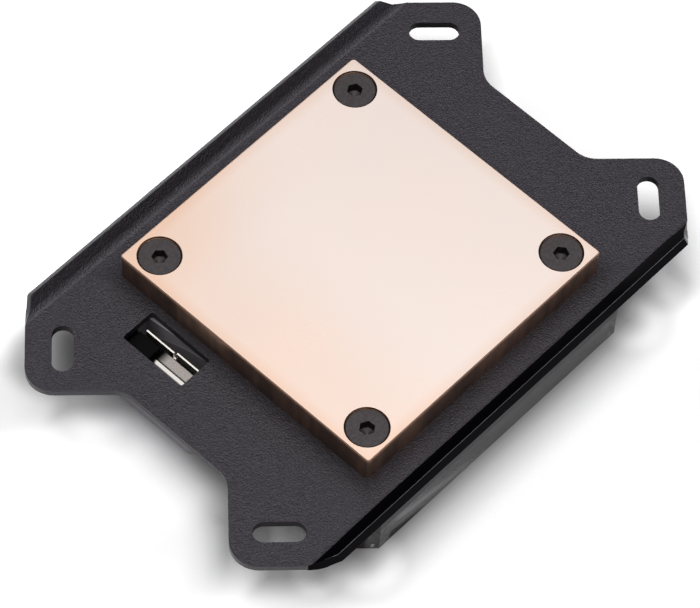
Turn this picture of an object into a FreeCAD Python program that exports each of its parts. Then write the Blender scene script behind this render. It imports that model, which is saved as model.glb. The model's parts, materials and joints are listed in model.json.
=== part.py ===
import FreeCAD, Part
import math
import os

# CPU water block, lying on its cover with the copper cold plate up.
# Millimetres, +Z up. The origin is the middle of the face that it lies on.
# X runs along the bracket, Y across it.

V = FreeCAD.Vector
ROOT2 = math.sqrt(2.0)
fit_gap = 0.1            # play between parts that drop into each other
drill_past = 0.4         # blind holes run on past their screws by this

# Stack, from the face it lies on upwards
cover_thick = 6.3
body_thick = 8.8
sheet_thick = 1.5
plate_rise = 5.8         # copper standing above the bracket

# Outline of the body and its cover
block_side = 67.3
block_corner = 3.5       # 45 degree corner cut, measured along a side
cover_inset = 0.05       # the cover's sides stand back from the body's
cover_edge = 0.15

# Every countersunk screw, under its 45 degree head
head_rim = 0.25
head_edge = 0.15
screw_tip = 0.5
drill_slope = 0.55       # rise over radius of the drilled floor under a hexagon socket
drill_share = 0.96       # that drill's diameter over the socket's flats

# Screw square of the cold plate
base_pitch = 48.6
base_shank_d = 4.0
base_head_d = 7.5
base_head_sunk = 0.25
base_length = 14.0
base_socket = 2.5        # across flats
base_socket_depth = 1.9
base_head_turns = (34.0, 8.0, 30.0, 15.0)

# Copper cold plate
plate_side = 58.2
plate_corner = 0.7
plate_edge = 0.2
boss_side = 44.0         # island that passes through the bracket
boss_corner = 6.0
fin_count = 30
fin_gap = 0.5            # width of one channel
fin_pitch = 1.0
fin_depth = 3.4
fin_run = 23.0           # channel length at full depth
saw_r = 7.0              # the saw leaves this radius at both channel ends

# Bracket, one bent sheet
pattern_wide = (96.0, 48.0)
pattern_narrow = (90.0, 54.0)
slot_width = 3.8
slot_play = 0.5          # the slot runs on past both patterns
ear_tip = 6.45           # slot centre to the ear's outer 45 degree edge
ear_side = 8.45          # slot centre to the ear's edge at the waist
ear_corner = 5.0
waist_half = 45.0
waist_corner = 5.0
flat_half = 33.2         # middle to where the bend starts
bend_r = 2.0
bend_angle = 45.0
bend_leg = 2.05
bend_taper = 1.3         # the end of the edge runs in by this per millimetre round the bend
leg_taper = 0.85         # and by this along the leg
neutral = 0.4            # place of the neutral line in the sheet
leg_corner = 0.8
coat_edge = 0.14         # edge rounding left by the coating
window_size = (7.1, 13.9)
window_centre = (-34.25, 12.87)
window_corner = 0.45

# Seal between copper and body
seal_half = 19.4         # middle line of the rounded square
seal_corner = 5.5
seal_width = 2.0
seal_height = 1.6
seal_edge = 0.5
groove_play = 0.15

# Jet plate and water ways
jet_size = (32.0, 24.0)
jet_thick = 0.8
jet_corner = 2.0
jet_slot = (26.0, 1.2)
inlet_x = -6.0
port_pitch = 26.0
port_r = 6.58            # thread of a G 1/4 port, at its full radius
port_lead = 0.8
way_r = 5.6
way_depth = 5.0
plenum_size = (27.0, 5.0)
collector_width = 3.6
collector_depth = 5.0
collector_high = 1.8     # height of the part that runs to the outlet
port_seal_r = 8.9        # middle radius of the port seals
port_seal_wire = 1.6
port_seal_high = 1.28    # pressed flat by a fifth
port_seal_edge = 0.45

# Brass inserts for the base screws
insert_d = 5.6
insert_length = 6.0
insert_step = 0.35       # depth of the neck and of the lead
insert_neck = 0.4        # length of the neck

# Cover screws, M3 countersunk
cover_pitch = 57.6
cover_shank_d = 3.0
cover_head_d = 6.0
cover_head_sunk = 0.2
cover_length = 12.0
cover_socket = 2.0
cover_socket_depth = 1.1
cover_head_turn = 12.0

# Side housing under the bracket's window
bay_out = 5.95           # how far it stands out from the block's end
bay_width = 23.0
bay_corner = 1.8
bay_edge = 0.4
bay_wall = 1.6
bay_below_sheet = 0.5
bay_cavity = 15.0        # along Y, centred on the window
board_ledge = 0.9
board_depth = 4.2
board_gap = 0.2          # between each end of the board and the bay's wall
board_thick = 1.0
board_low = 3.5          # board top, below the underside of the sheet
bay_screw_inset = 2.0
bay_screw_low = 4.4
bay_screw_d = 2.0
bay_head_d = 3.4
bay_head_high = 1.5
bay_head_sunk = 0.3
bay_screw_length = 9.6
bay_screw_socket = 1.3
bay_socket_depth = 1.0
bay_head_turn = 15.0
plug_play = 0.3          # opening in the wall, beyond each side of the shell

# Shell socket and pin header on the board
shell_width = 8.2
shell_height = 2.8
shell_depth = 3.0
shell_wall = 0.35
shell_lip = (0.8, 0.12)  # length and rise of the rolled mouth
mouth_drop = 0.2         # the rolled mouth slopes down by this
crease = (0.25, 0.2)     # width and depth of the crease behind the mouth
notch = (0.9, 0.35, 0.8)  # place, width and depth of the notch in the -Y corner
shell_corner = 0.7
shell_from_window = -2.75
core_back = 0.6
tongue_thick = 0.8
tongue_inset = 0.8       # from the shell's inner sides
tongue_drop = 0.3        # from its inner top
tongue_short = 0.5       # from its mouth
header_width = 5.0
header_height = 2.6
header_depth = 3.2
header_wall = 0.6
header_edge = 0.2
header_from_window = 4.4
pin_count = 4
pin_pitch = 1.0
pin_side = 0.4
pin_short = 0.6

# Shield between the sockets and the water body
recess_depth = (2.3, 3.2)  # the body's end is milled back this far at +Y, and this far at -Y
shield_back = 1.02       # its rear face, in from the body's end
shield_thick = 0.3
shield_low = 5.7         # floor that it stands in, below the sheet
shield_under = 0.4       # its top edge, below the sheet
shield_foot = 0.8        # depth of the groove in that floor
shield_jog_y = 11.75
shield_end_y = 18.7
shield_relief = (0.45, 1.6)  # slot at the jog, width and depth

# Heights that the stack gives
z_body = cover_thick
z_sheet = z_body + body_thick
z_plate = z_sheet + sheet_thick
z_top = z_plate + plate_rise
outlet_x = inlet_x + port_pitch
block_end = block_side / 2
win_x, win_y = window_centre


def box(x0, x1, y0, y1, z0, z1):
    return Part.makeBox(x1 - x0, y1 - y0, z1 - z0, V(x0, y0, z0))


def rod(x, y, z0, z1, r):
    return Part.makeCylinder(r, z1 - z0, V(x, y, z0))


def rounded_wire(corners, z=0.0):
    """Closed wire through (x, y, r) corners, each rounded by its own r."""
    edges = []
    ends = []
    count = len(corners)
    for i in range(count):
        x, y, r = corners[i]
        here = V(x, y, z)
        to_last = V(*corners[i - 1][:2], z) - here
        to_next = V(*corners[(i + 1) % count][:2], z) - here
        to_last.normalize()
        to_next.normalize()
        if r <= 0:
            ends.append((here, here))
            continue
        half = to_last.getAngle(to_next) / 2
        run = r / math.tan(half)
        start = here + to_last * run
        end = here + to_next * run
        to_mid = to_last + to_next
        to_mid.normalize()
        mid = here + to_mid * (r / math.sin(half) - r)
        edges.append((i, Part.Arc(start, mid, end).toShape()))
        ends.append((start, end))
    arcs = dict(edges)
    path = []
    for i in range(count):
        if i in arcs:
            path.append(arcs[i])
        a = ends[i][1]
        b = ends[(i + 1) % count][0]
        if (b - a).Length > 1e-6:
            path.append(Part.makeLine(a, b))
    return Part.Wire(path)


def slab(corners, z0, z1):
    face = Part.Face(rounded_wire(corners, z0))
    return face.extrude(V(0, 0, z1 - z0))


def rectangle(cx, cy, sx, sy, r=0.0):
    hx, hy = sx / 2, sy / 2
    return [(cx - hx, cy - hy, r), (cx + hx, cy - hy, r), (cx + hx, cy + hy, r), (cx - hx, cy + hy, r)]


def pad(cx, cy, sx, sy, z0, z1, r=0.0):
    return slab(rectangle(cx, cy, sx, sy, r), z0, z1)


def cut_square(side, cut):
    """Square with its corners cut off at 45 degrees."""
    h = side / 2
    k = h - cut
    return [(-k, -h, 0), (k, -h, 0), (h, -k, 0), (h, k, 0), (k, h, 0), (-k, h, 0), (-h, k, 0), (-h, -k, 0)]


def square_points(pitch):
    h = pitch / 2
    return [(-h, -h), (h, -h), (h, h), (-h, h)]


def edges_at(shape, test):
    return [e for e in shape.Edges if test(e)]


def flat_at(e, z):
    return all(abs(v.Z - z) < 1e-6 for v in e.Vertexes)


def hex_prism(flats, z0, z1, turn):
    r = flats / math.sqrt(3.0)
    points = [V(r * math.cos(math.radians(turn + 60 * k)), r * math.sin(math.radians(turn + 60 * k)), z0)
              for k in range(6)]
    face = Part.Face(Part.makePolygon(points + points[:1]))
    return face.extrude(V(0, 0, z1 - z0))


def revolve(profile):
    """Solid of revolution about Z from (r, z) points."""
    points = [V(r, 0, z) for r, z in profile]
    face = Part.Face(Part.makePolygon(points + points[:1]))
    return face.revolve(V(0, 0, 0), V(0, 0, 1), 360)


def socket_recess(flats, depth, turn):
    """Hexagon socket, open at z = 0, with the floor that the drill left."""
    r = drill_share * flats / 2
    drilled = Part.makeCone(0, r, drill_slope * r, V(0, 0, -depth - drill_slope * r))
    return hex_prism(flats, -depth, 1, turn).fuse(drilled)


def sunk_screw(head_d, shank_d, length, socket, socket_depth, turn):
    """Countersunk screw with its head's face at z = 0, pointing down."""
    hr, sr = head_d / 2, shank_d / 2
    neck = head_rim + hr - sr
    body = revolve([(0, 0), (hr - head_edge, 0), (hr, -head_edge), (hr, -head_rim), (sr, -neck),
                    (sr, -length + screw_tip), (sr - screw_tip, -length), (0, -length)])
    return body.cut(socket_recess(socket, socket_depth, turn))


def placed(shape, x, y, z, flip=False):
    copy = shape.copy()
    if flip:
        copy.rotate(V(0, 0, 0), V(1, 0, 0), 180)
    copy.translate(V(x, y, z))
    return copy


def channel():
    """One saw cut, seen from the end of the fins, centred on X = 0."""
    half = fin_run / 2
    z0 = z_sheet
    z1 = z_sheet + fin_depth
    rise = saw_r - math.sqrt(saw_r ** 2 - (saw_r - fin_depth) ** 2)
    reach = math.sqrt(saw_r ** 2 - (saw_r - fin_depth) ** 2)
    mid_angle = math.radians(90.0) - math.asin(reach / saw_r) / 2
    x0 = -fin_gap / 2
    a = V(x0, -half - reach, z0)
    b = V(x0, -half, z1)
    c = V(x0, half, z1)
    d = V(x0, half + reach, z0)
    mid_y = saw_r * math.cos(mid_angle)
    mid_z = z1 - saw_r + saw_r * math.sin(mid_angle)
    wire = Part.Wire([Part.Arc(a, V(x0, -half - mid_y, mid_z), b).toShape(), Part.makeLine(b, c),
                      Part.Arc(c, V(x0, half + mid_y, mid_z), d).toShape(), Part.makeLine(d, a)])
    return Part.Face(wire).extrude(V(fin_gap, 0, 0))


def cold_plate():
    plate = pad(0, 0, plate_side, plate_side, z_plate, z_top, plate_corner)
    plate = plate.makeChamfer(plate_edge, edges_at(plate, lambda e: flat_at(e, z_top)))
    plate = plate.fuse(pad(0, 0, boss_side, boss_side, z_sheet, z_plate, boss_corner)).removeSplitter()
    seat_r = base_head_d / 2 + 2 * fit_gap
    hole_r = base_shank_d / 2 + 1.5 * fit_gap
    z_seat = z_top - base_head_sunk - head_rim
    z_foot = z_seat - (seat_r - hole_r)
    tools = []
    for x, y in square_points(base_pitch):
        tools.append(rod(x, y, z_seat, z_top + 1, seat_r))
        tools.append(Part.makeCone(hole_r, seat_r, seat_r - hole_r, V(x, y, z_foot)))
        tools.append(rod(x, y, z_plate - 1, z_seat, hole_r))
    one = channel()
    first = -(fin_count - 1) * fin_pitch / 2
    tools += [placed(one, first + k * fin_pitch, 0, 0) for k in range(fin_count)]
    return plate.cut(Part.makeCompound(tools))


def tip_sum():
    """X + Y along the ear's outer 45 degree edge."""
    slot_x = (pattern_wide[0] + pattern_narrow[0]) / 4
    slot_y = (pattern_wide[1] + pattern_narrow[1]) / 4
    return slot_x + slot_y + ear_tip * ROOT2


def bend_section(angle, beyond=0.0):
    """Cross-section of the sheet at an angle round the bend, or beyond it along the leg."""
    a = math.radians(angle)
    round_bend = (bend_r + neutral * sheet_thick) * a
    half = tip_sum() - flat_half - bend_taper * round_bend - leg_taper * beyond
    points = []
    for r in (bend_r, bend_r + sheet_thick):
        y = flat_half + r * math.sin(a) + beyond * math.cos(a)
        z = z_plate + bend_r - r * math.cos(a) + beyond * math.sin(a)
        points.append((y, z))
    (y0, z0), (y1, z1) = points
    corners = [(-half, y0, z0), (half, y0, z0), (half, y1, z1), (-half, y1, z1), (-half, y0, z0)]
    return Part.makePolygon([V(*corner) for corner in corners])


def bent_edge():
    """The bend and its leg at the +Y side."""
    steps = 4
    bend = Part.makeLoft([bend_section(bend_angle * k / steps) for k in range(steps + 1)], True, False)
    leg = Part.makeLoft([bend_section(bend_angle), bend_section(bend_angle, bend_leg)], True, True)
    far = bend_section(bend_angle, bend_leg)
    far_mid = far.CenterOfMass
    short = edges_at(leg, lambda e: abs(e.Length - sheet_thick) < 1e-4
                     and abs(e.CenterOfMass.y - far_mid.y) < 0.01)
    leg = leg.makeFillet(leg_corner, short)
    out = V(0, math.cos(math.radians(bend_angle)), math.sin(math.radians(bend_angle)))
    reach = far_mid.dot(out)
    rim = edges_at(leg, lambda e: all(v.Point.dot(out) > reach - leg_corner - 0.01 for v in e.Vertexes)
                   and abs(e.CenterOfMass.dot(V(0, -out.z, out.y)) - far_mid.dot(V(0, -out.z, out.y)))
                   > sheet_thick / 2 - 0.01)
    leg = leg.makeFillet(coat_edge, rim)
    return bend, leg


def ear_outline():
    """Outline of the sheet's flat middle, with its four ears."""
    slot_x = (pattern_wide[0] + pattern_narrow[0]) / 4
    slot_y = (pattern_wide[1] + pattern_narrow[1]) / 4
    side_diff = slot_x - slot_y + ear_side * ROOT2
    outer = (tip_sum() - flat_half, flat_half, 0.0)
    corner = ((tip_sum() + side_diff) / 2, (tip_sum() - side_diff) / 2, ear_corner)
    waist = (waist_half, waist_half - side_diff, waist_corner)
    quarter = [outer, corner, waist]
    right = quarter + [(x, -y, r) for x, y, r in reversed(quarter)]
    return right + [(-x, y, r) for x, y, r in reversed(right)]


def ear_slots():
    slot_x = (pattern_wide[0] + pattern_narrow[0]) / 4
    slot_y = (pattern_wide[1] + pattern_narrow[1]) / 4
    run = math.hypot(pattern_wide[0] - pattern_narrow[0], pattern_wide[1] - pattern_narrow[1]) / 2
    length = run + 2 * slot_play + slot_width
    tools = []
    for sx in (-1, 1):
        for sy in (-1, 1):
            slot = pad(0, 0, length, slot_width, z_sheet - 1, z_plate + 1, slot_width / 2 - 1e-4)
            slot.rotate(V(0, 0, 0), V(0, 0, 1), -45 * sx * sy)
            tools.append(placed(slot, sx * slot_x, sy * slot_y, 0))
    return tools


def mounting_bracket():
    sheet = slab(ear_outline(), z_sheet, z_plate)
    rim = edges_at(sheet, lambda e: (flat_at(e, z_sheet) or flat_at(e, z_plate))
                   and not all(abs(abs(v.Y) - flat_half) < 1e-6 for v in e.Vertexes))
    sheet = sheet.makeFillet(coat_edge, rim)
    hole_r = base_shank_d / 2 + 2.5 * fit_gap
    tools = ear_slots()
    tools.append(pad(0, 0, boss_side + 4 * fit_gap, boss_side + 4 * fit_gap, z_sheet - 1, z_plate + 1,
                     boss_corner + 2 * fit_gap))
    tools.append(pad(win_x, win_y, *window_size, z_sheet - 1, z_plate + 1, window_corner))
    tools += [rod(x, y, z_sheet - 1, z_plate + 1, hole_r) for x, y in square_points(base_pitch)]
    sheet = sheet.cut(Part.makeCompound(tools))
    pieces = []
    for turn in (0, 180):
        for piece in bent_edge():
            piece.rotate(V(0, 0, 0), V(0, 0, 1), turn)
            pieces.append(piece)
    return sheet.fuse(pieces).removeSplitter()


def base_screws():
    z = z_top - base_head_sunk
    screws = []
    for (x, y), turn in zip(square_points(base_pitch), base_head_turns):
        one = sunk_screw(base_head_d, base_shank_d, base_length, base_socket, base_socket_depth, turn)
        screws.append(placed(one, x, y, z))
    return screws


def screw_inserts():
    inserts = []
    z1 = z_sheet
    z0 = z1 - insert_length
    r = insert_d / 2
    neck = r - insert_step
    low = (z0 + z1 - insert_neck) / 2
    high = low + insert_neck
    for x, y in square_points(base_pitch):
        ring = revolve([(0, z0), (neck, z0), (r, z0 + insert_step), (r, low - insert_step), (neck, low),
                        (neck, high), (r, high + insert_step), (r, z1), (0, z1)])
        bore = rod(0, 0, z0 - 1, z1 + 1, base_shank_d / 2 + fit_gap / 2)
        inserts.append(placed(ring.cut(bore), x, y, 0))
    return inserts


def seal_ring(width, z0, z1, rounding=0.0):
    out = 2 * seal_half + width
    inner = 2 * seal_half - width
    ring = pad(0, 0, out, out, z0, z1, seal_corner + width / 2)
    ring = ring.cut(pad(0, 0, inner, inner, z0 - 1, z1 + 1, seal_corner - width / 2))
    if rounding:
        ring = ring.makeFillet(rounding, edges_at(ring, lambda e: flat_at(e, z0) or flat_at(e, z1)))
    return ring


def main_oring():
    return seal_ring(seal_width, z_sheet - seal_height, z_sheet, seal_edge)


def jet_plate():
    z0 = z_sheet - jet_thick
    plate = pad(0, 0, *jet_size, z0, z_sheet, jet_corner)
    return plate.cut(pad(0, 0, *jet_slot, z0 - 1, z_sheet + 1, jet_slot[1] / 2 - 1e-4))


def port_groove(x, play=0.0):
    half = port_seal_wire / 2 + play
    z1 = z_body + port_seal_high
    ring = rod(x, 0, z_body, z1, port_seal_r + half)
    return ring.cut(rod(x, 0, z_body - 1, z1 + 1, port_seal_r - half))


def port_orings():
    rings = []
    for x in (inlet_x, outlet_x):
        ring = port_groove(x)
        circles = edges_at(ring, lambda e: e.Curve.TypeId == "Part::GeomCircle")
        rings.append(ring.makeFillet(port_seal_edge, circles))
    return rings


def water_ways():
    """Everything that is milled into the body for the coolant."""
    z_recess = z_sheet - jet_thick
    jet_x, jet_y = jet_size
    tools = [pad(0, 0, jet_x + 2 * fit_gap, jet_y + 2 * fit_gap, z_recess, z_sheet + 1, jet_corner + fit_gap)]
    z_way = z_body + way_depth
    plenum_x, plenum_y = plenum_size
    tools.append(pad(0, 0, plenum_x, plenum_y, z_way - 1, z_recess + 1, plenum_y / 2 - 1e-4))
    tools += [rod(x, 0, z_body - 1, z_way, way_r) for x in (inlet_x, outlet_x)]
    first = (jet_y + collector_width) / 2 - 2 * fit_gap
    end_x = outlet_x - way_r / 2
    start_x = -(fin_count + 1) * fin_pitch / 2
    z_floor = z_sheet - collector_depth
    z_roof = z_floor + collector_high
    end_r = collector_width / 2 - 1e-4
    mid_x = (start_x + end_x) / 2
    width = collector_width
    for side in (-1, 1):
        tools.append(pad(mid_x, side * first, end_x - start_x, width, z_floor, z_roof))
        tools.append(pad(0, side * first, -2 * start_x, width, z_floor, z_sheet + 1, end_r))
    tools.append(pad(end_x, 0, width, 2 * first + width, z_floor, z_roof, end_r))
    return tools


def top_body():
    body = slab(cut_square(block_side, block_corner), z_body, z_sheet)
    tools = water_ways()
    tools.append(seal_ring(seal_width + 2 * groove_play, z_sheet - seal_height, z_sheet + 1))
    z_low = z_top - base_head_sunk - base_length - drill_past
    for x, y in square_points(base_pitch):
        tools.append(rod(x, y, z_sheet - insert_length, z_sheet + 1, insert_d / 2))
        tools.append(rod(x, y, z_low, z_sheet, base_shank_d / 2 + fit_gap))
    tools += [port_groove(x, groove_play) for x in (inlet_x, outlet_x)]
    z_end = cover_head_sunk + cover_length + drill_past
    hole_r = (cover_shank_d + fit_gap) / 2
    tools += [rod(x, y, z_body - 1, z_end, hole_r) for x, y in square_points(cover_pitch)]
    z_floor = z_sheet - shield_low
    y0, y1 = cavity_ys()
    narrow, wide = [depth - block_end for depth in recess_depth]
    recess = [(-block_end - 1, y0, 0), (wide, y0, 0), (wide, shield_jog_y, 0), (narrow, y1, 0),
              (-block_end - 1, y1, 0)]
    tools.append(slab(recess, z_floor, z_sheet + 1))
    x0, x1, y0, y1 = shield_span()
    tools.append(box(x0, x1, y0, y1, z_floor - shield_foot, z_floor + 1))
    hole_r = (bay_screw_d + fit_gap) / 2
    for y in bay_screw_ys():
        start = V(-block_end - 1, y, bay_screw_z())
        tools.append(Part.makeCylinder(hole_r, bay_screw_length, start, V(1, 0, 0)))
    return body.cut(Part.makeCompound(tools))


def top_cover():
    side = block_side - 2 * cover_inset
    cover = slab(cut_square(side, block_corner - cover_inset), 0, z_body)
    cover = cover.makeChamfer(cover_edge, edges_at(cover, lambda e: flat_at(e, 0)))
    tools = []
    for x in (inlet_x, outlet_x):
        tools.append(rod(x, 0, -1, z_body + 1, port_r))
        tools.append(Part.makeCone(port_r + port_lead, port_r, port_lead, V(x, 0, 0)))
    seat_r = cover_head_d / 2 + fit_gap
    hole_r = cover_shank_d / 2 + 2 * fit_gap
    z_seat = cover_head_sunk + head_rim
    for x, y in square_points(cover_pitch):
        tools.append(rod(x, y, -1, z_seat, seat_r))
        tools.append(Part.makeCone(seat_r, hole_r, seat_r - hole_r, V(x, y, z_seat)))
        tools.append(rod(x, y, z_seat, z_body + 1, hole_r))
    return cover.cut(Part.makeCompound(tools))


def cover_screws():
    one = sunk_screw(cover_head_d, cover_shank_d, cover_length, cover_socket, cover_socket_depth,
                     cover_head_turn)
    return [placed(one, x, y, cover_head_sunk, flip=True) for x, y in square_points(cover_pitch)]


def bay_screw_ys():
    half = bay_width / 2 - bay_screw_inset
    return (win_y - half, win_y + half)


def cavity_ys():
    return (win_y - bay_cavity / 2, win_y + bay_cavity / 2)


def bay_screw_z():
    return z_sheet - bay_screw_low


def shield_span():
    """X and Y range of the shield, and of the straight groove that it stands in."""
    back = -block_end + shield_back
    return back - 2 * shield_thick, back, win_y - bay_cavity / 2 + fit_gap, shield_end_y


def side_housing():
    x0 = -block_end - bay_out
    x1 = -block_end
    z1 = z_sheet - bay_below_sheet
    y0, y1 = win_y - bay_width / 2, win_y + bay_width / 2
    shell = slab([(x0, y0, bay_corner), (x1, y0, 0), (x1, y1, 0), (x0, y1, bay_corner)], 0, z1)
    shell = shell.makeFillet(bay_edge, edges_at(shell, lambda e: (flat_at(e, z1) or flat_at(e, 0))
                                                and abs(e.CenterOfMass.x - x1) > 0.01))
    z_board = z_sheet - board_low - board_thick
    low, high = cavity_ys()
    tools = [box(x0 + bay_wall, x1 + 1, low, high, z_board, z1 + 1)]
    tools.append(box(x0 + bay_wall, x1 + 1, low + board_ledge, high - board_ledge, bay_wall, z1))
    z_port = z_board + board_thick
    shell_y = win_y + shell_from_window
    header_y = win_y + header_from_window
    for y, half, high in ((shell_y, shell_width / 2 + plug_play, shell_height + fit_gap),
                          (header_y, header_width / 2 - plug_play, header_height)):
        tools.append(box(x0 - 1, x0 + bay_wall + 1, y - half, y + half, z_port + fit_gap, z_port + high))
    sunk = 1 + bay_head_sunk + bay_head_high
    for y in bay_screw_ys():
        start = V(x0 - 1, y, bay_screw_z())
        tools.append(Part.makeCylinder(bay_screw_d / 2 + fit_gap, bay_out + 2, start, V(1, 0, 0)))
        tools.append(Part.makeCylinder(bay_head_d / 2 + fit_gap, sunk, start, V(1, 0, 0)))
    return shell.cut(Part.makeCompound(tools))


def housing_screws():
    screws = []
    x0 = -block_end - bay_out + bay_head_sunk
    for y in bay_screw_ys():
        start = V(x0, y, bay_screw_z())
        head = Part.makeCylinder(bay_head_d / 2, bay_head_high, start, V(1, 0, 0))
        shank = Part.makeCylinder(bay_screw_d / 2, bay_screw_length, start, V(1, 0, 0))
        recess = socket_recess(bay_screw_socket, bay_socket_depth, bay_head_turn)
        recess.rotate(V(0, 0, 0), V(0, 1, 0), -90)
        recess.translate(start)
        screws.append(head.fuse(shank).cut(recess).removeSplitter())
    return screws


def circuit_board():
    width = bay_cavity - 2 * board_gap
    x1 = -block_end - fit_gap
    z1 = z_sheet - board_low
    return box(x1 - board_depth, x1, win_y - width / 2, win_y + width / 2, z1 - board_thick, z1)


def section_x(x, cy, z0, width, height, corner):
    """Rounded rectangle across X, its foot at z0."""
    wire = rounded_wire(rectangle(0, 0, height, width, corner))
    wire.rotate(V(0, 0, 0), V(0, 1, 0), 90)
    wire.translate(V(x, cy, z0 + height / 2))
    return wire


def tube_x(x0, x1, cy, z0, width, height, corner):
    return Part.Face(section_x(x0, cy, z0, width, height, corner)).extrude(V(x1 - x0, 0, 0))


def shell_span():
    x1 = -block_end - 2 * fit_gap
    return x1 - shell_depth, x1


def socket_shell():
    x0, x1 = shell_span()
    cy = win_y + shell_from_window
    z0 = z_sheet - board_low
    lip, rise = shell_lip
    width = shell_width - 2 * rise
    height = shell_height - rise
    outer_r = shell_corner + rise
    drop = mouth_drop
    mouth = Part.makeLoft([section_x(x0, cy, z0, shell_width - 2 * drop, shell_height - drop, outer_r),
                           section_x(x0 + lip, cy, z0, shell_width, shell_height, outer_r)], True, True)
    crease_x = x0 + lip + crease[0]
    neck = tube_x(x0 + lip, crease_x, cy, z0, width - 2 * crease[1], height - crease[1], shell_corner)
    barrel = tube_x(crease_x, x1, cy, z0, width, height, shell_corner)
    wall = shell_wall
    inside = tube_x(x0 - 1, x1 - wall, cy, z0 + wall, width - 2 * wall, height - 2 * wall,
                    shell_corner - wall)
    place, nick_width, nick_depth = notch
    nick_x = x1 - place
    nick = box(nick_x - nick_width, nick_x, cy - shell_width, cy - width / 2 + nick_depth,
               z0 + height - nick_depth, z0 + shell_height + 1)
    return mouth.fuse([neck, barrel]).cut(inside).cut(nick).removeSplitter()


def socket_core():
    x0, x1 = shell_span()
    cy = win_y + shell_from_window
    z0 = z_sheet - board_low + shell_wall
    inner_width = shell_width - 2 * shell_lip[1] - 2 * shell_wall
    inner_height = shell_height - shell_lip[1] - 2 * shell_wall
    x_back = x1 - shell_wall
    back = tube_x(x_back - core_back, x_back, cy, z0, inner_width, inner_height, shell_corner - shell_wall)
    half = inner_width / 2 - tongue_inset
    z_tongue = z0 + inner_height - tongue_drop
    tongue = box(x0 + tongue_short, x_back, cy - half, cy + half, z_tongue - tongue_thick, z_tongue)
    return back.fuse(tongue).removeSplitter()


def header_span():
    x1 = -block_end - 2 * fit_gap
    return x1 - header_depth, x1


def pin_header():
    x0, x1 = header_span()
    cy = win_y + header_from_window
    z0 = z_sheet - board_low
    half = header_width / 2
    body = box(x0, x1, cy - half, cy + half, z0, z0 + header_height)
    body = body.makeFillet(header_edge, edges_at(body, lambda e: abs(e.Length - header_depth) < 1e-6))
    inner = half - header_wall
    inside = box(x0 - 1, x1 - header_wall, cy - inner, cy + inner, z0 + header_wall,
                 z0 + header_height - header_wall)
    return body.cut(Part.makeCompound([inside] + header_pins()))


def header_pins():
    x0, x1 = header_span()
    zc = z_sheet - board_low + header_height / 2
    first = win_y + header_from_window - (pin_count - 1) * pin_pitch / 2
    h = pin_side / 2
    ys = [first + k * pin_pitch for k in range(pin_count)]
    return [box(x0 + pin_short, x1, y - h, y + h, zc - h, zc + h) for y in ys]


def shield_plate():
    """Thin joggled sheet, standing on edge in the body's end."""
    x0, x1, y0, y1 = shield_span()
    t = shield_thick
    jog = shield_jog_y
    slope = t * math.tan(math.radians(22.5))
    points = [(x1 - t, y0, 0), (x1, y0, 0), (x1, jog, 0), (x1 - t, jog + t, 0), (x1 - t, y1, 0),
              (x0, y1, 0), (x0, jog + t - slope, 0), (x1 - t, jog - slope, 0)]
    z1 = z_sheet - shield_under
    plate = slab(points, z_sheet - shield_low - shield_foot, z1)
    width, depth = shield_relief
    return plate.cut(box(x0 - 1, x1 + 1, jog, jog + width, z1 - depth, z1 + 1))


def solids_of(made):
    items = made if isinstance(made, list) else [made]
    return [s for item in items for s in item.Solids]


NODES = (cold_plate, mounting_bracket, base_screws, screw_inserts, main_oring, jet_plate, top_body,
         port_orings, top_cover, cover_screws, side_housing, housing_screws, circuit_board, socket_shell,
         socket_core, pin_header, header_pins, shield_plate)


def main():
    os.makedirs("parts", exist_ok=True)
    for node in NODES:
        solids = solids_of(node())
        shape = solids[0] if len(solids) == 1 else Part.makeCompound(solids)
        shape.exportStep(f"parts/{node.__name__}.step")
        print(node.__name__, len(solids), round(shape.Volume, 2), shape.isValid())


main()
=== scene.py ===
import json
import math

import bpy
from mathutils import Matrix, Vector


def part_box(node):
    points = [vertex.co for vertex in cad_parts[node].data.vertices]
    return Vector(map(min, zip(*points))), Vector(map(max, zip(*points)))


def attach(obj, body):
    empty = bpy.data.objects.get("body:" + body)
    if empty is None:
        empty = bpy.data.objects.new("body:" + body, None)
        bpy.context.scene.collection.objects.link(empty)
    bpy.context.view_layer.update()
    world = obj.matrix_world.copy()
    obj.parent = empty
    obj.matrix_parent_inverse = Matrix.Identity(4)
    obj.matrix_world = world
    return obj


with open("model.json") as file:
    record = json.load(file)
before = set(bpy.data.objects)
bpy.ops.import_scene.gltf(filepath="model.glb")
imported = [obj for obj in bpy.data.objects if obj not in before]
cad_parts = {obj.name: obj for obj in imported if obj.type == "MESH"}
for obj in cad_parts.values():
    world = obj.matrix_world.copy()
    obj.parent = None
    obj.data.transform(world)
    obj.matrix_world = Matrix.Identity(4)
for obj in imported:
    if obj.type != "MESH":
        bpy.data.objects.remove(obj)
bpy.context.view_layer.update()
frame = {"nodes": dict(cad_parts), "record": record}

# CPU water block, lying on its cover with the copper up. Metres, in the frame's axes.
MM = 0.001


nodes = frame["nodes"]


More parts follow.
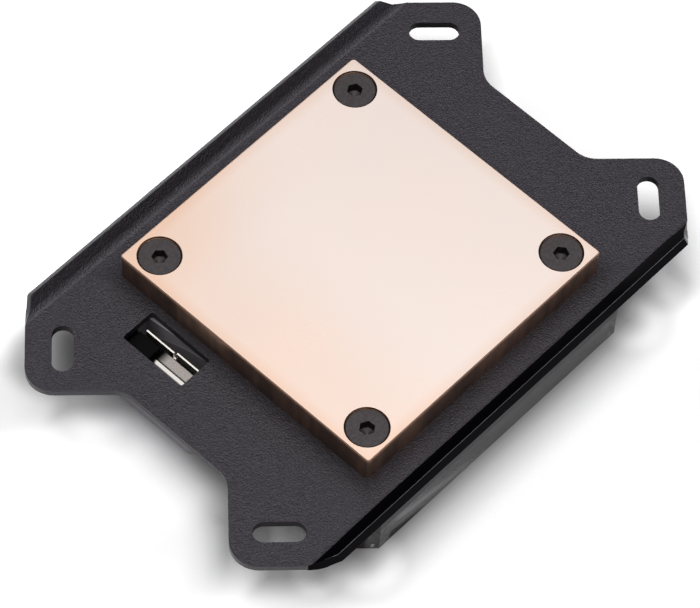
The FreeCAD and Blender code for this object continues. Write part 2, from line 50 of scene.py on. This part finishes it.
class Value:
    """One output socket; arithmetic on it adds Math nodes."""

    def __init__(self, graph, socket):
        self.graph = graph
        self.socket = socket

    def math(self, operation, *others):
        operands = (self,) + others
        return self.graph.node("ShaderNodeMath", dict(enumerate(operands)), operation=operation)

    def __add__(self, other):
        return self.math("ADD", other)

    __radd__ = __add__

    def __sub__(self, other):
        return self.math("SUBTRACT", other)

    def __rsub__(self, other):
        return self.math("MULTIPLY", -1.0) + other

    def __mul__(self, other):
        return self.math("MULTIPLY", other)

    __rmul__ = __mul__

    def __truediv__(self, other):
        return self.math("DIVIDE", other)

    def __neg__(self):
        return self.math("MULTIPLY", -1.0)

    def __abs__(self):
        return self.math("ABSOLUTE")

    def power(self, exponent):
        return self.math("POWER", exponent)

    def low(self, other):
        return self.math("MINIMUM", other)

    def high(self, other):
        return self.math("MAXIMUM", other)

    def sin(self):
        return self.math("SINE")

    def cos(self):
        return self.math("COSINE")

    def over(self, limit):
        return self.math("GREATER_THAN", limit)

    def ramp(self, start, end):
        """0 below start, 1 above end, smooth between them."""
        return self.graph.node("ShaderNodeMapRange", {"Value": self, "From Min": start, "From Max": end},
                               interpolation_type="SMOOTHSTEP")


class Graph:
    """A material, world or geometry tree whose nodes are written as calls."""

    def __init__(self, tree):
        self.tree = tree
        tree.nodes.clear()

    def node(self, kind, inputs=None, out=0, stops=None, **settings):
        made = self.tree.nodes.new(kind)
        for name, value in settings.items():
            setattr(made, name, value)
        if stops:
            self.set_stops(made.color_ramp.elements, stops)
        for key, value in (inputs or {}).items():
            self.feed(made.inputs[key], value)
        return Value(self, made.outputs[out]) if len(made.outputs) else made

    def set_stops(self, elements, stops):
        while len(elements) < len(stops):
            elements.new(1.0)
        for element, (position, level) in zip(elements, stops):
            element.position = position
            element.color = level if isinstance(level, tuple) else (level, level, level, 1.0)

    def feed(self, socket, value):
        if isinstance(value, Value):
            self.tree.links.new(value.socket, socket)
        elif isinstance(value, tuple) and len(value) == 3 and socket.type == "RGBA":
            socket.default_value = value + (1.0,)
        else:
            socket.default_value = value

    def place(self):
        """The point being shaded, on the object's own axes."""
        return self.node("ShaderNodeTexCoord", out="Object")

    def axes(self, vector):
        split = self.node("ShaderNodeSeparateXYZ", {"Vector": vector})
        outputs = split.socket.node.outputs
        return tuple(Value(self, outputs[axis]) for axis in range(3))

    def stretch(self, vector, x, y, z):
        return self.node("ShaderNodeMapping", {"Vector": vector, "Scale": (x, y, z)})

    def noise(self, vector, grain, detail=2.0):
        """Noise whose features are about as large as grain."""
        return self.node("ShaderNodeTexNoise", {"Vector": vector, "Scale": 1.0 / grain, "Detail": detail})

    def scaled(self, colour, factor):
        """A colour made lighter or darker."""
        return self.node("ShaderNodeVectorMath", {0: colour, "Scale": factor}, operation="SCALE")

    def distance(self, x, y):
        """Length of a flat vector."""
        return (x * x + y * y).power(0.5)

    def blend(self, factor, first, second):
        return self.node("ShaderNodeMix", {0: factor, 6: first, 7: second}, out=2, data_type="RGBA")

    def bump(self, height, depth, strength=1.0):
        return self.node("ShaderNodeBump", {"Height": height, "Distance": depth, "Strength": strength})

    def output(self, shader):
        self.node("ShaderNodeOutputMaterial", {"Surface": shader})


def material(name, build, **constants):
    """A material whose builder returns the Principled inputs that change over the surface.

    A builder may also return "Bare" and "Bare Color": where Bare is 1, the surface is dull, of that colour.
    """
    made = bpy.data.materials.new(name)
    made.use_nodes = True
    graph = Graph(made.node_tree)
    inputs = dict(constants)
    inputs.update(build(graph))
    bare = inputs.pop("Bare", None)
    bare_color = inputs.pop("Bare Color", None)
    shader = graph.node("ShaderNodeBsdfPrincipled", inputs)
    if bare:
        dull = graph.node("ShaderNodeBsdfPrincipled", {"Base Color": bare_color, "Roughness": 0.9,
                                                       "Specular IOR Level": 0.0})
        shader = graph.node("ShaderNodeMixShader", {0: bare, 1: shader, 2: dull})
    graph.output(shader)
    return made


# Copper cold plate

plate_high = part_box("cold_plate")[1]
plate_half = plate_high.x
COPPER_LAPPED = (0.860, 0.745, 0.690)
COPPER_WARM = (0.800, 0.560, 0.435)
COPPER_SIDE = (0.580, 0.360, 0.260)
COPPER_SIDE_DARK = (0.330, 0.220, 0.165)
# Painted highlight: lighter orange along the plate's top rim and on the screw recesses' walls
COPPER_RIM_HIGHLIGHT = (0.800, 0.440, 0.280)
NEAR_SIDE_PAINTED_LIGHT = 0.5     # painted light: how much lighter the -Y side is painted than the others


def copper_inputs(g):
    """Lapped on top, warmer towards the rim and the -X side; browned sides with upright streaks, a painted
    highlight along the top rim and on the screw recesses' walls, and painted light on the -Y side.
    """
    place = g.place()
    x, y, z = g.axes(place)
    outward, up = g.axes(g.node("ShaderNodeNewGeometry", out="Normal"))[1:]
    lapped = up.ramp(0.5, 0.9) * z.over(plate_high.z - 0.5 * MM)
    clouds = g.noise(place, 20 * MM).ramp(0.35, 0.7)
    to_edge = abs(x).high(abs(y)) / plate_half
    warm_edge = to_edge.ramp(0.90, 1.0)
    warm_side = (-x).ramp(1 * MM, 27 * MM) * 0.42
    warm_corner = y.ramp(12 * MM, 27 * MM) * (-x).ramp(-12 * MM, 14 * MM) * 0.30
    warmth = (clouds * 0.12 + warm_edge * 0.40 + warm_side + warm_corner).low(1.0)
    tone = 1.0 + (x + y) * 0.5
    top = g.blend(warmth, g.scaled(COPPER_LAPPED, tone), COPPER_WARM)
    streaks = g.noise(g.stretch(place, 1.0, 1.0, 0.15), 3.4 * MM)
    side = g.blend(streaks.ramp(0.3, 0.7), COPPER_SIDE, COPPER_SIDE_DARK)
    # Painted highlight: near the top edge, and on the side walls away from the outline, which are the screw
    # recesses'
    rim = z.ramp(plate_high.z - 1.5 * MM, plate_high.z - 0.1 * MM).high(1.0 - to_edge.ramp(0.93, 0.97))
    side = g.blend(rim * 0.75, side, COPPER_RIM_HIGHLIGHT)
    # Painted light: the -Y side made lighter
    side = g.scaled(side, 1.0 + (-outward).over(0.5) * NEAR_SIDE_PAINTED_LIGHT)
    scratches = g.noise(g.stretch(place, 1.0, 0.05, 1.0), 0.12 * MM)
    return {
        "Base Color": g.blend(lapped, side, top),
        "Roughness": 0.34 - lapped * 0.10 + clouds * 0.04,
        "Normal": g.bump(scratches, 0.0006 * MM, 0.4),
    }


copper = material("lapped_copper", copper_inputs, Metallic=1.0)


# Black finishes

FOLD_Y = 33.3 * MM       # where the folded edges start
FOLD_TIP_Y = 35.5 * MM   # and where their tips do
FOLD_OUTWARD = 8.5 * MM  # y times the normal's y is more than this on an outer face
FOLD_INWARD = 6.5 * MM   # and less than minus this on an inner slope
SLOT_X = 46.5 * MM       # middles of the ears' slots
SLOT_Y = 25.5 * MM
SLOT_REACH = 5.5 * MM    # their walls lie within this
PEEL_GRAIN = 0.27 * MM   # the coat's orange peel, its finer grain and its colour's
FINE_GRAIN = 0.12 * MM
SPECKLE_GRAIN = 0.22 * MM
PEEL_DEPTH = 0.155 * MM


def powder_inputs(g):
    """Fine-grained coat; dull and dark as painted shade on the folds' outer faces, the near fold's inner
    slope and the slots' walls, painted shade round the copper plate's foot, and painted highlights on the
    folds' tips and where the +Y fold bends.
    """
    place = g.place()
    x, y = g.axes(place)[:2]
    normal_x, normal_y, normal_z = g.axes(g.node("ShaderNodeNewGeometry", out="Normal"))
    peel = g.noise(place, PEEL_GRAIN, detail=1.0)
    fine = g.noise(place, FINE_GRAIN, detail=1.0)
    speckle = g.noise(place, SPECKLE_GRAIN, detail=1.0).ramp(0.32, 0.68)
    coat = g.blend(speckle, (0.0012, 0.0006, 0.0022), (0.0190, 0.0165, 0.0222))
    outward = y * normal_y
    # Painted highlight: a pale line along the folds' tips
    tip_highlight = ((-y).over(FOLD_TIP_Y) + y.over(FOLD_TIP_Y + 0.7 * MM)) * normal_z.over(0.3)
    # Painted highlight: a lighter band where the +Y fold starts to bend
    bend_highlight = y.over(0.0) * (-outward).ramp(0.2 * MM, 1.6 * MM) * (1.0 - (-outward).ramp(7 * MM, 9 * MM))
    coat = g.blend(bend_highlight * 0.5, coat, (0.050, 0.047, 0.053))
    end_face = abs(normal_x).over(0.3)
    kept = (y.over(0.0) * end_face.high(normal_z.over(0.3))).high(x.over(0.0) * end_face)
    # Painted shade: the folds' outer faces and the near fold's inner slope made dull and dark, the slope
    # painted a little lighter towards +X
    outer = abs(y).over(FOLD_Y) * outward.over(FOLD_OUTWARD) * (1.0 - kept)
    inner = (-y).over(FOLD_Y) * (-outward).over(FOLD_INWARD) * (1.0 - kept)
    inner_slope_shade = g.blend(x.ramp(0.0, 14 * MM), (0.0018, 0.0018, 0.0026), (0.0036, 0.0034, 0.0040))
    inner_slope_shade = g.blend(x.ramp(26 * MM, 34 * MM), inner_slope_shade, (0.0090, 0.0084, 0.0094))
    inner_slope_shade = g.blend(x.ramp(44 * MM, 53 * MM), inner_slope_shade, (0.0330, 0.0310, 0.0335))
    # Painted shade: the slots' walls made dull and dark
    from_slot = g.distance(abs(x) - SLOT_X, abs(y) - SLOT_Y)
    slot_wall_shade = (1.0 - from_slot.over(SLOT_REACH)) * (1.0 - abs(normal_z).over(0.5))
    from_plate = abs(x).high(abs(y)) - plate_half
    corner_shade = (1.0 - from_plate.ramp(-0.5 * MM, 4.5 * MM)) * 0.40
    tip_highlight_color = g.blend(y.over(0.0), (0.130, 0.126, 0.132), (0.036, 0.034, 0.038))
    return {
        "Base Color": g.blend(tip_highlight, coat, tip_highlight_color),
        "Roughness": 0.24 + fine * 0.12,
        "Normal": g.bump(peel + fine * 0.4, PEEL_DEPTH),
        "Bare": (outer + inner).low(1.0).high(corner_shade).high(slot_wall_shade * 0.65),
        "Bare Color": g.blend(inner, (0.0085, 0.0080, 0.0090), inner_slope_shade),
    }


powder_coat = material("powder_coat", powder_inputs, **{"Specular IOR Level": 0.61,
                                                        "Specular Tint": (0.955, 0.905, 1.0)})


def oxide_inputs(g):
    place = g.place()
    mottle = g.noise(place, 0.5 * MM, detail=3.0)
    return {
        "Base Color": g.blend(mottle.ramp(0.3, 0.75), (0.054, 0.047, 0.048), (0.076, 0.066, 0.068)),
        "Roughness": 0.40 + mottle * 0.12,
        "Normal": g.bump(mottle, 0.006 * MM, 0.6),
    }


black_oxide = material("black_oxide", oxide_inputs, Metallic=0.85)


RECESS_X = -30.2 * MM    # the body's recess behind the window
RECESS_LINE_Z = 12.5 * MM
RECESS_MID_Y = 13.9 * MM
RECESS_Y = (3.0 * MM, 21.5 * MM)
RECESS_FLOOR_Z = 9.0 * MM


def milled_inputs(g):
    """Milled black; painted light makes the recess under the window greyer, with a fine painted highlight
    line that slants down towards +Y.
    """
    place = g.place()
    x, y, z = g.axes(place)
    lines = g.noise(g.stretch(place, 0.03, 0.03, 1.0), 0.10 * MM)
    cloud = g.noise(place, 6 * MM)
    black = g.blend(cloud, (0.028, 0.027, 0.032), (0.036, 0.035, 0.042))
    # Painted light in the recess under the window, with a bright painted line, half back to black towards +Y
    above = z - RECESS_LINE_Z + (y - RECESS_MID_Y) * 0.33
    recess_painted_light = g.blend(above.ramp(-0.35 * MM, 0.0), (0.150, 0.140, 0.150), (0.270, 0.257, 0.272))
    recess_painted_light = g.blend((1.0 - abs(above / (0.30 * MM))).high(0.0), recess_painted_light, (0.42, 0.40, 0.42))
    recess_painted_light = g.blend(y.ramp(16 * MM, 19 * MM) * 0.5, recess_painted_light, black)
    across = y.over(RECESS_Y[0]) * (1.0 - y.over(RECESS_Y[1]))
    recess = (1.0 - x.over(RECESS_X)) * z.over(RECESS_FLOOR_Z) * across
    return {
        "Base Color": g.blend(recess, black, recess_painted_light),
        "Roughness": 0.36 + lines * 0.14,
        "Normal": g.bump(lines, 0.004 * MM, 0.5),
    }


milled_black = material("milled_black", milled_inputs)


housing_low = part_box("side_housing")[0]
HOUSING_SKIN = 1.2 * MM


def moulded_inputs(g):
    """Grey outside as painted light on the black plastic; dull near-black within the hollow as painted shade.
    """
    place = g.place()
    x = g.axes(place)[0]
    grain = g.noise(place, 0.25 * MM)
    # Painted light on the outside, painted shade within the hollow
    outside = (housing_low.x + HOUSING_SKIN - x).over(0.0)
    return {
        "Base Color": g.blend(outside, (0.012, 0.012, 0.013), (0.420, 0.408, 0.455)),
        "Roughness": 0.42 + grain * 0.12,
        "Normal": g.bump(grain, 0.008 * MM, 0.5),
        "Bare": 1.0 - outside,
        "Bare Color": (0.0040, 0.0040, 0.0042),
    }


moulded_black = material("moulded_black", moulded_inputs)


def insulator_inputs(g):
    grain = g.noise(g.place(), 0.15 * MM)
    return {
        "Base Color": g.blend(grain, (0.0025, 0.0025, 0.0025), (0.0050, 0.0050, 0.0050)),
        "Roughness": 0.45 + grain * 0.15,
    }


insulator = material("insulator", insulator_inputs, **{"Specular IOR Level": 0.03})


def rubber_inputs(g):
    grain = g.noise(g.place(), 0.2 * MM, detail=3.0)
    return {
        "Base Color": g.blend(grain, (0.012, 0.012, 0.012), (0.022, 0.021, 0.021)),
        "Roughness": 0.62 + grain * 0.15,
        "Normal": g.bump(grain, 0.005 * MM, 0.4),
    }


seal_rubber = material("seal_rubber", rubber_inputs)


def mask_inputs(g):
    weave = g.noise(g.place(), 0.4 * MM)
    return {
        "Base Color": g.blend(weave, (0.008, 0.009, 0.009), (0.014, 0.016, 0.015)),
        "Roughness": 0.28 + weave * 0.10,
    }


solder_mask = material("solder_mask", mask_inputs)


# Bright metals

def plating_inputs(g):
    place = g.place()
    satin = g.noise(g.stretch(place, 0.15, 1.0, 1.0), 0.12 * MM)
    return {
        "Base Color": g.blend(satin, (0.92, 0.89, 0.84), (0.98, 0.96, 0.92)),
        "Roughness": 0.20 + satin * 0.12,
        "Normal": g.bump(satin, 0.002 * MM, 0.5),
    }


nickel = material("nickel_plate", plating_inputs, Metallic=1.0)


shell_low, shell_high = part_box("socket_shell")
SHELL_LIP = 0.95 * MM


def shell_inputs(g):
    """Bright rolled mouth with a thin line of painted shade behind it, satin barrel that painted shade
    darkens towards the header.
    """
    place = g.place()
    x, y = g.axes(place)[:2]
    grain = g.noise(place, 0.17 * MM, detail=3.0)
    behind_lip = x - shell_low.x - SHELL_LIP
    barrel = behind_lip.over(0.0)
    # Painted shade: a thin dark line just behind the lip
    crease = behind_lip.over(-0.06 * MM) * (1.0 - behind_lip.over(0.24 * MM))
    outer_edge = (SHELL_LIP * -0.78 - behind_lip).over(0.0)
    # Painted shade: the barrel darkens towards the header
    header_painted_shade = y.ramp(shell_high.y - 2.5 * MM, shell_high.y - 0.5 * MM)
    satin = g.blend(grain.ramp(0.3, 0.7), (0.235, 0.215, 0.200), (0.45, 0.415, 0.395))
    satin = g.blend(crease * 0.8, satin, (0.05, 0.05, 0.05))
    dull = g.blend(header_painted_shade * 0.97, satin, (0.012, 0.011, 0.010))
    lip = g.blend(outer_edge, (0.40, 0.375, 0.355), (0.10, 0.095, 0.09))
    return {
        "Base Color": g.blend(barrel, lip, dull),
        "Roughness": 0.22 + barrel * (0.16 + grain * 0.1),
        "Normal": g.bump(grain, 0.004 * MM, 0.5),
    }


shell_plating = material("shell_plating", shell_inputs, Metallic=1.0)


def gold_inputs(g):
    satin = g.noise(g.place(), 0.2 * MM)
    return {
        "Base Color": g.blend(satin, (0.80, 0.58, 0.24), (0.88, 0.68, 0.33)),
        "Roughness": 0.22 + satin * 0.1,
    }


contact_gold = material("contact_gold", gold_inputs, Metallic=1.0)


def brass_inputs(g):
    turned = g.noise(g.stretch(g.place(), 0.1, 0.1, 1.0), 0.08 * MM)
    return {
        "Base Color": g.blend(turned, (0.70, 0.52, 0.24), (0.80, 0.62, 0.32)),
        "Roughness": 0.25 + turned * 0.15,
    }


turned_brass = material("turned_brass", brass_inputs, Metallic=1.0)


def rolled_inputs(g):
    rolled = g.noise(g.stretch(g.place(), 0.05, 1.0, 1.0), 0.15 * MM, detail=3.0)
    return {
        "Base Color": g.blend(rolled, (0.52, 0.51, 0.50), (0.64, 0.63, 0.62)),
        "Roughness": 0.28 + rolled * 0.15,
    }


rolled_steel = material("rolled_steel", rolled_inputs, Metallic=1.0)


# Dark clear cover

cover_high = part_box("top_cover")[1]


def clear_inputs(g):
    """Dark clear plastic; on the near side a pale painted reflection slants over a patch of painted shade,
    and the end is dark with painted shade.
    """
    place = g.place()
    x, y, z = g.axes(place)
    swirl = g.noise(place, 5 * MM)
    near = (-y).over(cover_high.y - 1.2 * MM)
    # Painted reflection: a pale slanting streak on the near side
    over_streak = z - 4.6 * MM + (x + 24 * MM) * 0.22
    streak = (1.0 - abs(over_streak) / (2.6 * MM)).high(0.0).ramp(0.0, 1.0)
    streak = streak * x.ramp(-29 * MM, -24.5 * MM) * (1.0 - x.ramp(-20 * MM, 4 * MM))
    # Painted shade: a dark patch below the streak on the near side, and the cover's -X end
    patch = 1.0 - over_streak.ramp(-3.6 * MM, -1.2 * MM)
    patch = patch * x.ramp(-30 * MM, -27 * MM) * (1.0 - x.ramp(-22 * MM, -12 * MM))
    end = (1.0 - x.ramp(-32.2 * MM, -30.5 * MM)) * (-y).over(24 * MM)
    dark = (patch * near).high(end)
    return {
        "Base Color": g.blend(swirl, (0.22, 0.200, 0.204), (0.28, 0.256, 0.263)),
        "Roughness": 0.06 + swirl * 0.05,
        "Bare": (streak * near * 0.65).high(dark * 0.75),
        "Bare Color": g.blend(dark, (0.43, 0.42, 0.43), (0.040, 0.032, 0.030)),
    }


dark_clear = material("dark_clear", clear_inputs, IOR=1.49, **{"Transmission Weight": 0.9})


# Threads in the two ports, one tree of geometry nodes

def gloss_inputs(g):
    swirl = g.noise(g.place(), 0.6 * MM)
    return {
        "Base Color": g.blend(swirl, (0.016, 0.015, 0.016), (0.026, 0.025, 0.026)),
        "Roughness": 0.14 + swirl * 0.08,
    }


thread_gloss = material("thread_gloss", gloss_inputs)

ports = [mount for mount in frame["record"]["mounts"] if mount["kind"] == "threaded_hole"]
THREAD_PITCH = 1.337 * MM    # G 1/4
THREAD_RIDGE = 0.80 * MM
RIDGE_WIDTH = 0.94           # of the pitch
THREAD_END = 0.1 * MM        # left plain
RUNOUT = 0.06                # share of the thread that rises at each end


class Tree(Graph):
    """A geometry tree with named inputs, put on an empty mesh and turned into a plain one."""

    def __init__(self, name, **inputs):
        tree = bpy.data.node_groups.new(name, "GeometryNodeTree")
        super().__init__(tree)
        self.name = name
        self.given = inputs
        tree.interface.new_socket("Geometry", in_out="OUTPUT", socket_type="NodeSocketGeometry")
        for key, value in inputs.items():
            kind = "NodeSocketInt" if isinstance(value, int) else "NodeSocketFloat"
            tree.interface.new_socket(key, in_out="INPUT", socket_type=kind).default_value = value
        self.group_input = tree.nodes.new("NodeGroupInput")

    def given_value(self, key):
        return Value(self, self.group_input.outputs[key])

    def combine(self, x, y, z):
        return self.node("ShaderNodeCombineXYZ", {"X": x, "Y": y, "Z": z})

    def grid(self, columns, rows):
        """Unit grid and its two coordinates, both from 0 to 1."""
        mesh = self.node("GeometryNodeMeshGrid", {"Size X": 1.0, "Size Y": 1.0,
                                                  "Vertices X": columns, "Vertices Y": rows})
        x, y = self.axes(self.node("GeometryNodeInputPosition"))[:2]
        return mesh, x + 0.5, y + 0.5

    def made(self, geometry, finish, slot):
        """Object from the tree's last geometry, riding the block."""
        shaded = self.node("GeometryNodeSetShadeSmooth", {"Geometry": geometry, "Shade Smooth": True})
        real = self.node("GeometryNodeRealizeInstances", {"Geometry": shaded})
        painted = self.node("GeometryNodeSetMaterial", {"Geometry": real, "Material": finish})
        self.node("NodeGroupOutput", {"Geometry": painted})
        holder = bpy.data.objects.new(self.name + "_tree", bpy.data.meshes.new(self.name + "_tree"))
        bpy.context.scene.collection.objects.link(holder)
        modifier = holder.modifiers.new(self.name, "NODES")
        modifier.node_group = self.tree
        for item in self.tree.interface.items_tree:
            if item.in_out == "INPUT":
                modifier[item.identifier] = self.given[item.name]
        bpy.context.view_layer.update()
        evaluated = holder.evaluated_get(bpy.context.evaluated_depsgraph_get())
        mesh = bpy.data.meshes.new_from_object(evaluated)
        holder.modifiers.clear()
        bpy.data.objects.remove(holder)
        mesh.name = self.name
        piece = bpy.data.objects.new(self.name, mesh)
        bpy.context.scene.collection.objects.link(piece)
        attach(piece, "root")
        return piece


def port_threads():
    """Screw threads, one long ridge wound up each port."""
    first, second = ports
    bore = first["dims"]["r_mm"] * MM
    length = first["dims"]["length_mm"] * MM
    t = Tree("port_threads", Bore=bore, Ridge=THREAD_RIDGE, Pitch=THREAD_PITCH, Length=length - THREAD_END,
             Start=first["pos_m"][0], Step=second["pos_m"][0] - first["pos_m"][0],
             Middle=first["pos_m"][2], Around=56)
    turns = t.given_value("Length") / t.given_value("Pitch") - 1.0
    mesh, along, across = t.grid(turns * t.given_value("Around"), 7)
    angle = along * turns * (2.0 * math.pi)
    crest = (1.0 - abs(across * 2.0 - 1.0)) * 1.25
    runout = along.ramp(0.0, RUNOUT) * (1.0 - along.ramp(1.0 - RUNOUT, 1.0))
    radius = t.given_value("Bore") - t.given_value("Ridge") * crest.low(1.0).high(0.0) * runout
    wound_up = (along - 0.5) * turns * t.given_value("Pitch")
    height = t.given_value("Middle") + wound_up + (across - 0.5) * t.given_value("Pitch") * RIDGE_WIDTH
    wound = t.node("GeometryNodeSetPosition", {
        "Geometry": mesh, "Position": t.combine(radius * angle.cos(), radius * angle.sin(), height)})
    places = t.node("GeometryNodeMeshLine", {
        "Count": 2, "Start Location": t.combine(t.given_value("Start"), 0.0, 0.0),
        "Offset": t.combine(t.given_value("Step"), 0.0, 0.0)})
    pair = t.node("GeometryNodeInstanceOnPoints", {"Points": places, "Instance": wound})
    return t.made(pair, thread_gloss, "cover_plastic")


port_threads()


def dress(finish, *names):
    for name in names:
        mesh = nodes[name].data
        mesh.materials.clear()
        mesh.materials.append(finish)


dress(copper, "cold_plate")
dress(powder_coat, "mounting_bracket")
dress(black_oxide, "base_screws", "cover_screws", "housing_screws")
dress(milled_black, "top_body")
dress(dark_clear, "top_cover")
dress(moulded_black, "side_housing")
dress(insulator, "socket_core", "pin_header")
dress(seal_rubber, "main_oring", "port_orings")
dress(solder_mask, "circuit_board")
dress(nickel, "shield_plate")
dress(shell_plating, "socket_shell")
dress(contact_gold, "header_pins")
dress(turned_brass, "screw_inserts")
dress(rolled_steel, "jet_plate")


# Floor, light and camera

bracket_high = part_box("mounting_bracket")[1]
EAR_TIPS = 81.1 * MM     # |x| + |y| along the ears' outer edges
WAIST_HALF = 45 * MM
WAIST_LEAN = 33 * MM     # |x| - |y| along the ears' inner edges
SIDE_MARGIN = 6 * MM
FLOOR_HALF = 3.0
FLOOR_Z = -0.03 * MM     # clear of the cover's underside
FLOOR_BOUNCE = 0.80      # the floor's colour for all rays but the camera's
FLOOR_MIRRORED = 0.20    # added to that for reflections and for what is seen through the cover

# Levels of the floor as the camera sees it, against the distance in mm inside the bracket's outline
SHADE_INSIDE = [(-16, 1.15), (-11, 1.19), (-8, 1.27), (-5, 1.45), (-2, 1.63), (0.5, 1.73), (2.5, 1.68),
                (4, 1.44), (5.5, 1.08), (7, 0.80), (8.5, 0.74), (14, 0.74)]
# The same under the far ears, which starts over FAR_X and ends over FAR_Y
SHADE_FAR = [(-16, 1.15), (-8, 1.22), (-5.9, 1.36), (-3.7, 1.20), (-2, 1.06), (0, 0.86), (1.6, 0.68),
             (4, 0.60), (14, 0.60)]
FAR_X = (42 * MM, 49 * MM)
FAR_Y = (-44 * MM, -36 * MM)
# The same along the near ear's inner edge: it starts over NOTCH_Y's first two and ends over the others
SHADE_NOTCH = [(-16, 1.15), (-8, 1.22), (-4.2, 1.15), (-2.1, 0.98), (0, 0.68), (3, 0.72), (5.5, 1.0),
               (7, 0.80), (8.5, 0.74), (14, 0.74)]
NOTCH_X = (38 * MM, 41 * MM)
NOTCH_Y = (3 * MM, 12.5 * MM, 14.5 * MM, 24 * MM)
# The share of these levels near the block's foot, against the distance in mm outside the cover
SHADE_FOOT = [(0.0, 0.41), (0.7, 0.45), (1.7, 0.525), (3.2, 0.65), (4.7, 0.735), (6.2, 0.805),
              (7.7, 0.89), (9.2, 0.95), (12.0, 1.0)]
# Round patches that change the level further: centre x, centre y and radius in mm, share
SHADE_PATCHES = [
    (-42.5, 33.5, 10.0, 0.45), (-42.8, -16.8, 4.0, 0.66), (-37.3, -22.3, 8.0, 2.25),
    (-44.0, 14.0, 10.0, 1.10), (-33.5, -33.5, 8.0, 1.50), (43.5, -34.0, 6.5, 0.80),
    (-54.0, 33.0, 11.0, 0.78), (-43.5, 20.5, 8.0, 1.30), (-41.5, -29.5, 5.0, 1.40), (34.0, -34.5, 7.0, 1.35)]
PATCH_CORE = 0.45        # share of a patch's radius that is even
CURVE_TOP = 2.0          # the highest level that a curve can hold


def shade_curve(g, value, stops):
    """Value in mm read off a list of stops."""
    first, last = stops[0][0], stops[-1][0]
    spots = [((at - first) / (last - first), level / CURVE_TOP) for at, level in stops]
    return g.node("ShaderNodeValToRGB", {0: (value - first) / (last - first)}, stops=spots) * CURVE_TOP


def floor_material():
    """Pale floor, white where the camera sees it open, with a soft shade about the block."""
    made = bpy.data.materials.new("pale_floor")
    made.use_nodes = True
    g = Graph(made.node_tree)
    path = g.node("ShaderNodeLightPath").socket.node.outputs
    camera_ray = Value(g, path["Is Camera Ray"])
    mirrored = Value(g, path["Is Glossy Ray"]).high(Value(g, path["Is Transmission Ray"]))
    x, y = g.axes(g.place())[:2]
    along, across = abs(x), abs(y)
    off_corner = (EAR_TIPS - along - across) / math.sqrt(2.0)
    off_side = (y + bracket_high.y).low(bracket_high.y + SIDE_MARGIN - y)
    off_waist = (WAIST_HALF - along).high((WAIST_LEAN + across - along) / math.sqrt(2.0))
    inside = off_corner.low(off_side).low(off_waist) / MM
    off_foot = g.distance((along - cover_high.x).high(0.0), (across - cover_high.y).high(0.0)) / MM
    far = x.ramp(*FAR_X) * y.ramp(*FAR_Y)
    notch = (-x).ramp(*NOTCH_X) * (-y).ramp(*NOTCH_Y[:2]) * (1.0 - (-y).ramp(*NOTCH_Y[2:]))
    level = shade_curve(g, inside, SHADE_INSIDE) * (1.0 - far) + shade_curve(g, inside, SHADE_FAR) * far
    level = level * (1.0 - notch) + shade_curve(g, inside, SHADE_NOTCH) * notch
    level = level * shade_curve(g, off_foot, SHADE_FOOT)
    for centre_x, centre_y, radius, share in SHADE_PATCHES:
        away = g.distance(x - centre_x * MM, y - centre_y * MM)
        level = level * (share + away.ramp(radius * PATCH_CORE * MM, radius * MM) * (1.0 - share))
    level = camera_ray * level + (1.0 - camera_ray) * (FLOOR_BOUNCE + mirrored * FLOOR_MIRRORED)
    colour = g.node("ShaderNodeCombineXYZ", {"X": level, "Y": level, "Z": level})
    g.output(g.node("ShaderNodeBsdfDiffuse", {"Color": colour}))
    return made


def floor():
    mesh = bpy.data.meshes.new("floor")
    corners = [(FLOOR_HALF * i, FLOOR_HALF * j, FLOOR_Z) for i, j in ((-1, -1), (1, -1), (1, 1), (-1, 1))]
    mesh.from_pydata(corners, [], [(0, 1, 2, 3)])
    mesh.materials.append(floor_material())
    made = bpy.data.objects.new("floor", mesh)
    bpy.context.scene.collection.objects.link(made)


def studio():
    """A wide soft light overhead, darker walls and a bright horizon."""
    world = bpy.data.worlds.new("studio")
    bpy.context.scene.world = world
    world.use_nodes = True
    g = Graph(world.node_tree)
    height = g.axes(g.node("ShaderNodeTexCoord", out="Generated"))[2]
    sky = g.node("ShaderNodeValToRGB", {0: height}, stops=[
        (0.0, 0.30), (0.17, 0.16), (0.34, 0.12), (0.60, 0.26), (0.75, 0.78), (0.84, 0.96), (0.93, 1.00)])
    path = g.node("ShaderNodeLightPath").socket.node.outputs
    seen = Value(g, path["Is Camera Ray"])
    colour = g.blend(seen, sky, (1.0, 1.0, 1.0))
    overhead = height.ramp(0.86, 0.985) * 2.2 + 1.0
    strength = seen + (1.0 - seen) * overhead
    background = g.node("ShaderNodeBackground", {"Color": colour, "Strength": strength})
    g.node("ShaderNodeOutputWorld", {"Surface": background})


def camera():
    """The photograph's view: a long lens, looking down past the -X, -Y corner."""
    aim = Vector((-5.86, -3.22, 16.6)) * MM
    distance = 736.8 * MM
    azimuth = math.radians(-139.437)
    elevation = math.radians(57.737)
    roll = math.radians(3.26)
    out = Vector((math.cos(elevation) * math.cos(azimuth), math.cos(elevation) * math.sin(azimuth),
                  math.sin(elevation)))
    level = Vector((0, 0, 1)).cross(out).normalized()
    top = out.cross(level)
    right = level * math.cos(roll) + top * math.sin(roll)
    top = out.cross(right)
    data = bpy.data.cameras.new("camera")
    data.sensor_width = 36.0
    data.lens = 221.33
    data.clip_start = 0.01
    data.clip_end = 20.0
    made = bpy.data.objects.new("camera", data)
    turned = Matrix((right, top, out)).transposed().to_4x4()
    made.matrix_world = Matrix.Translation(aim + out * distance) @ turned
    bpy.context.scene.collection.objects.link(made)
    bpy.context.scene.camera = made


floor()
studio()
camera()
bpy.context.scene.view_settings.view_transform = "Standard"
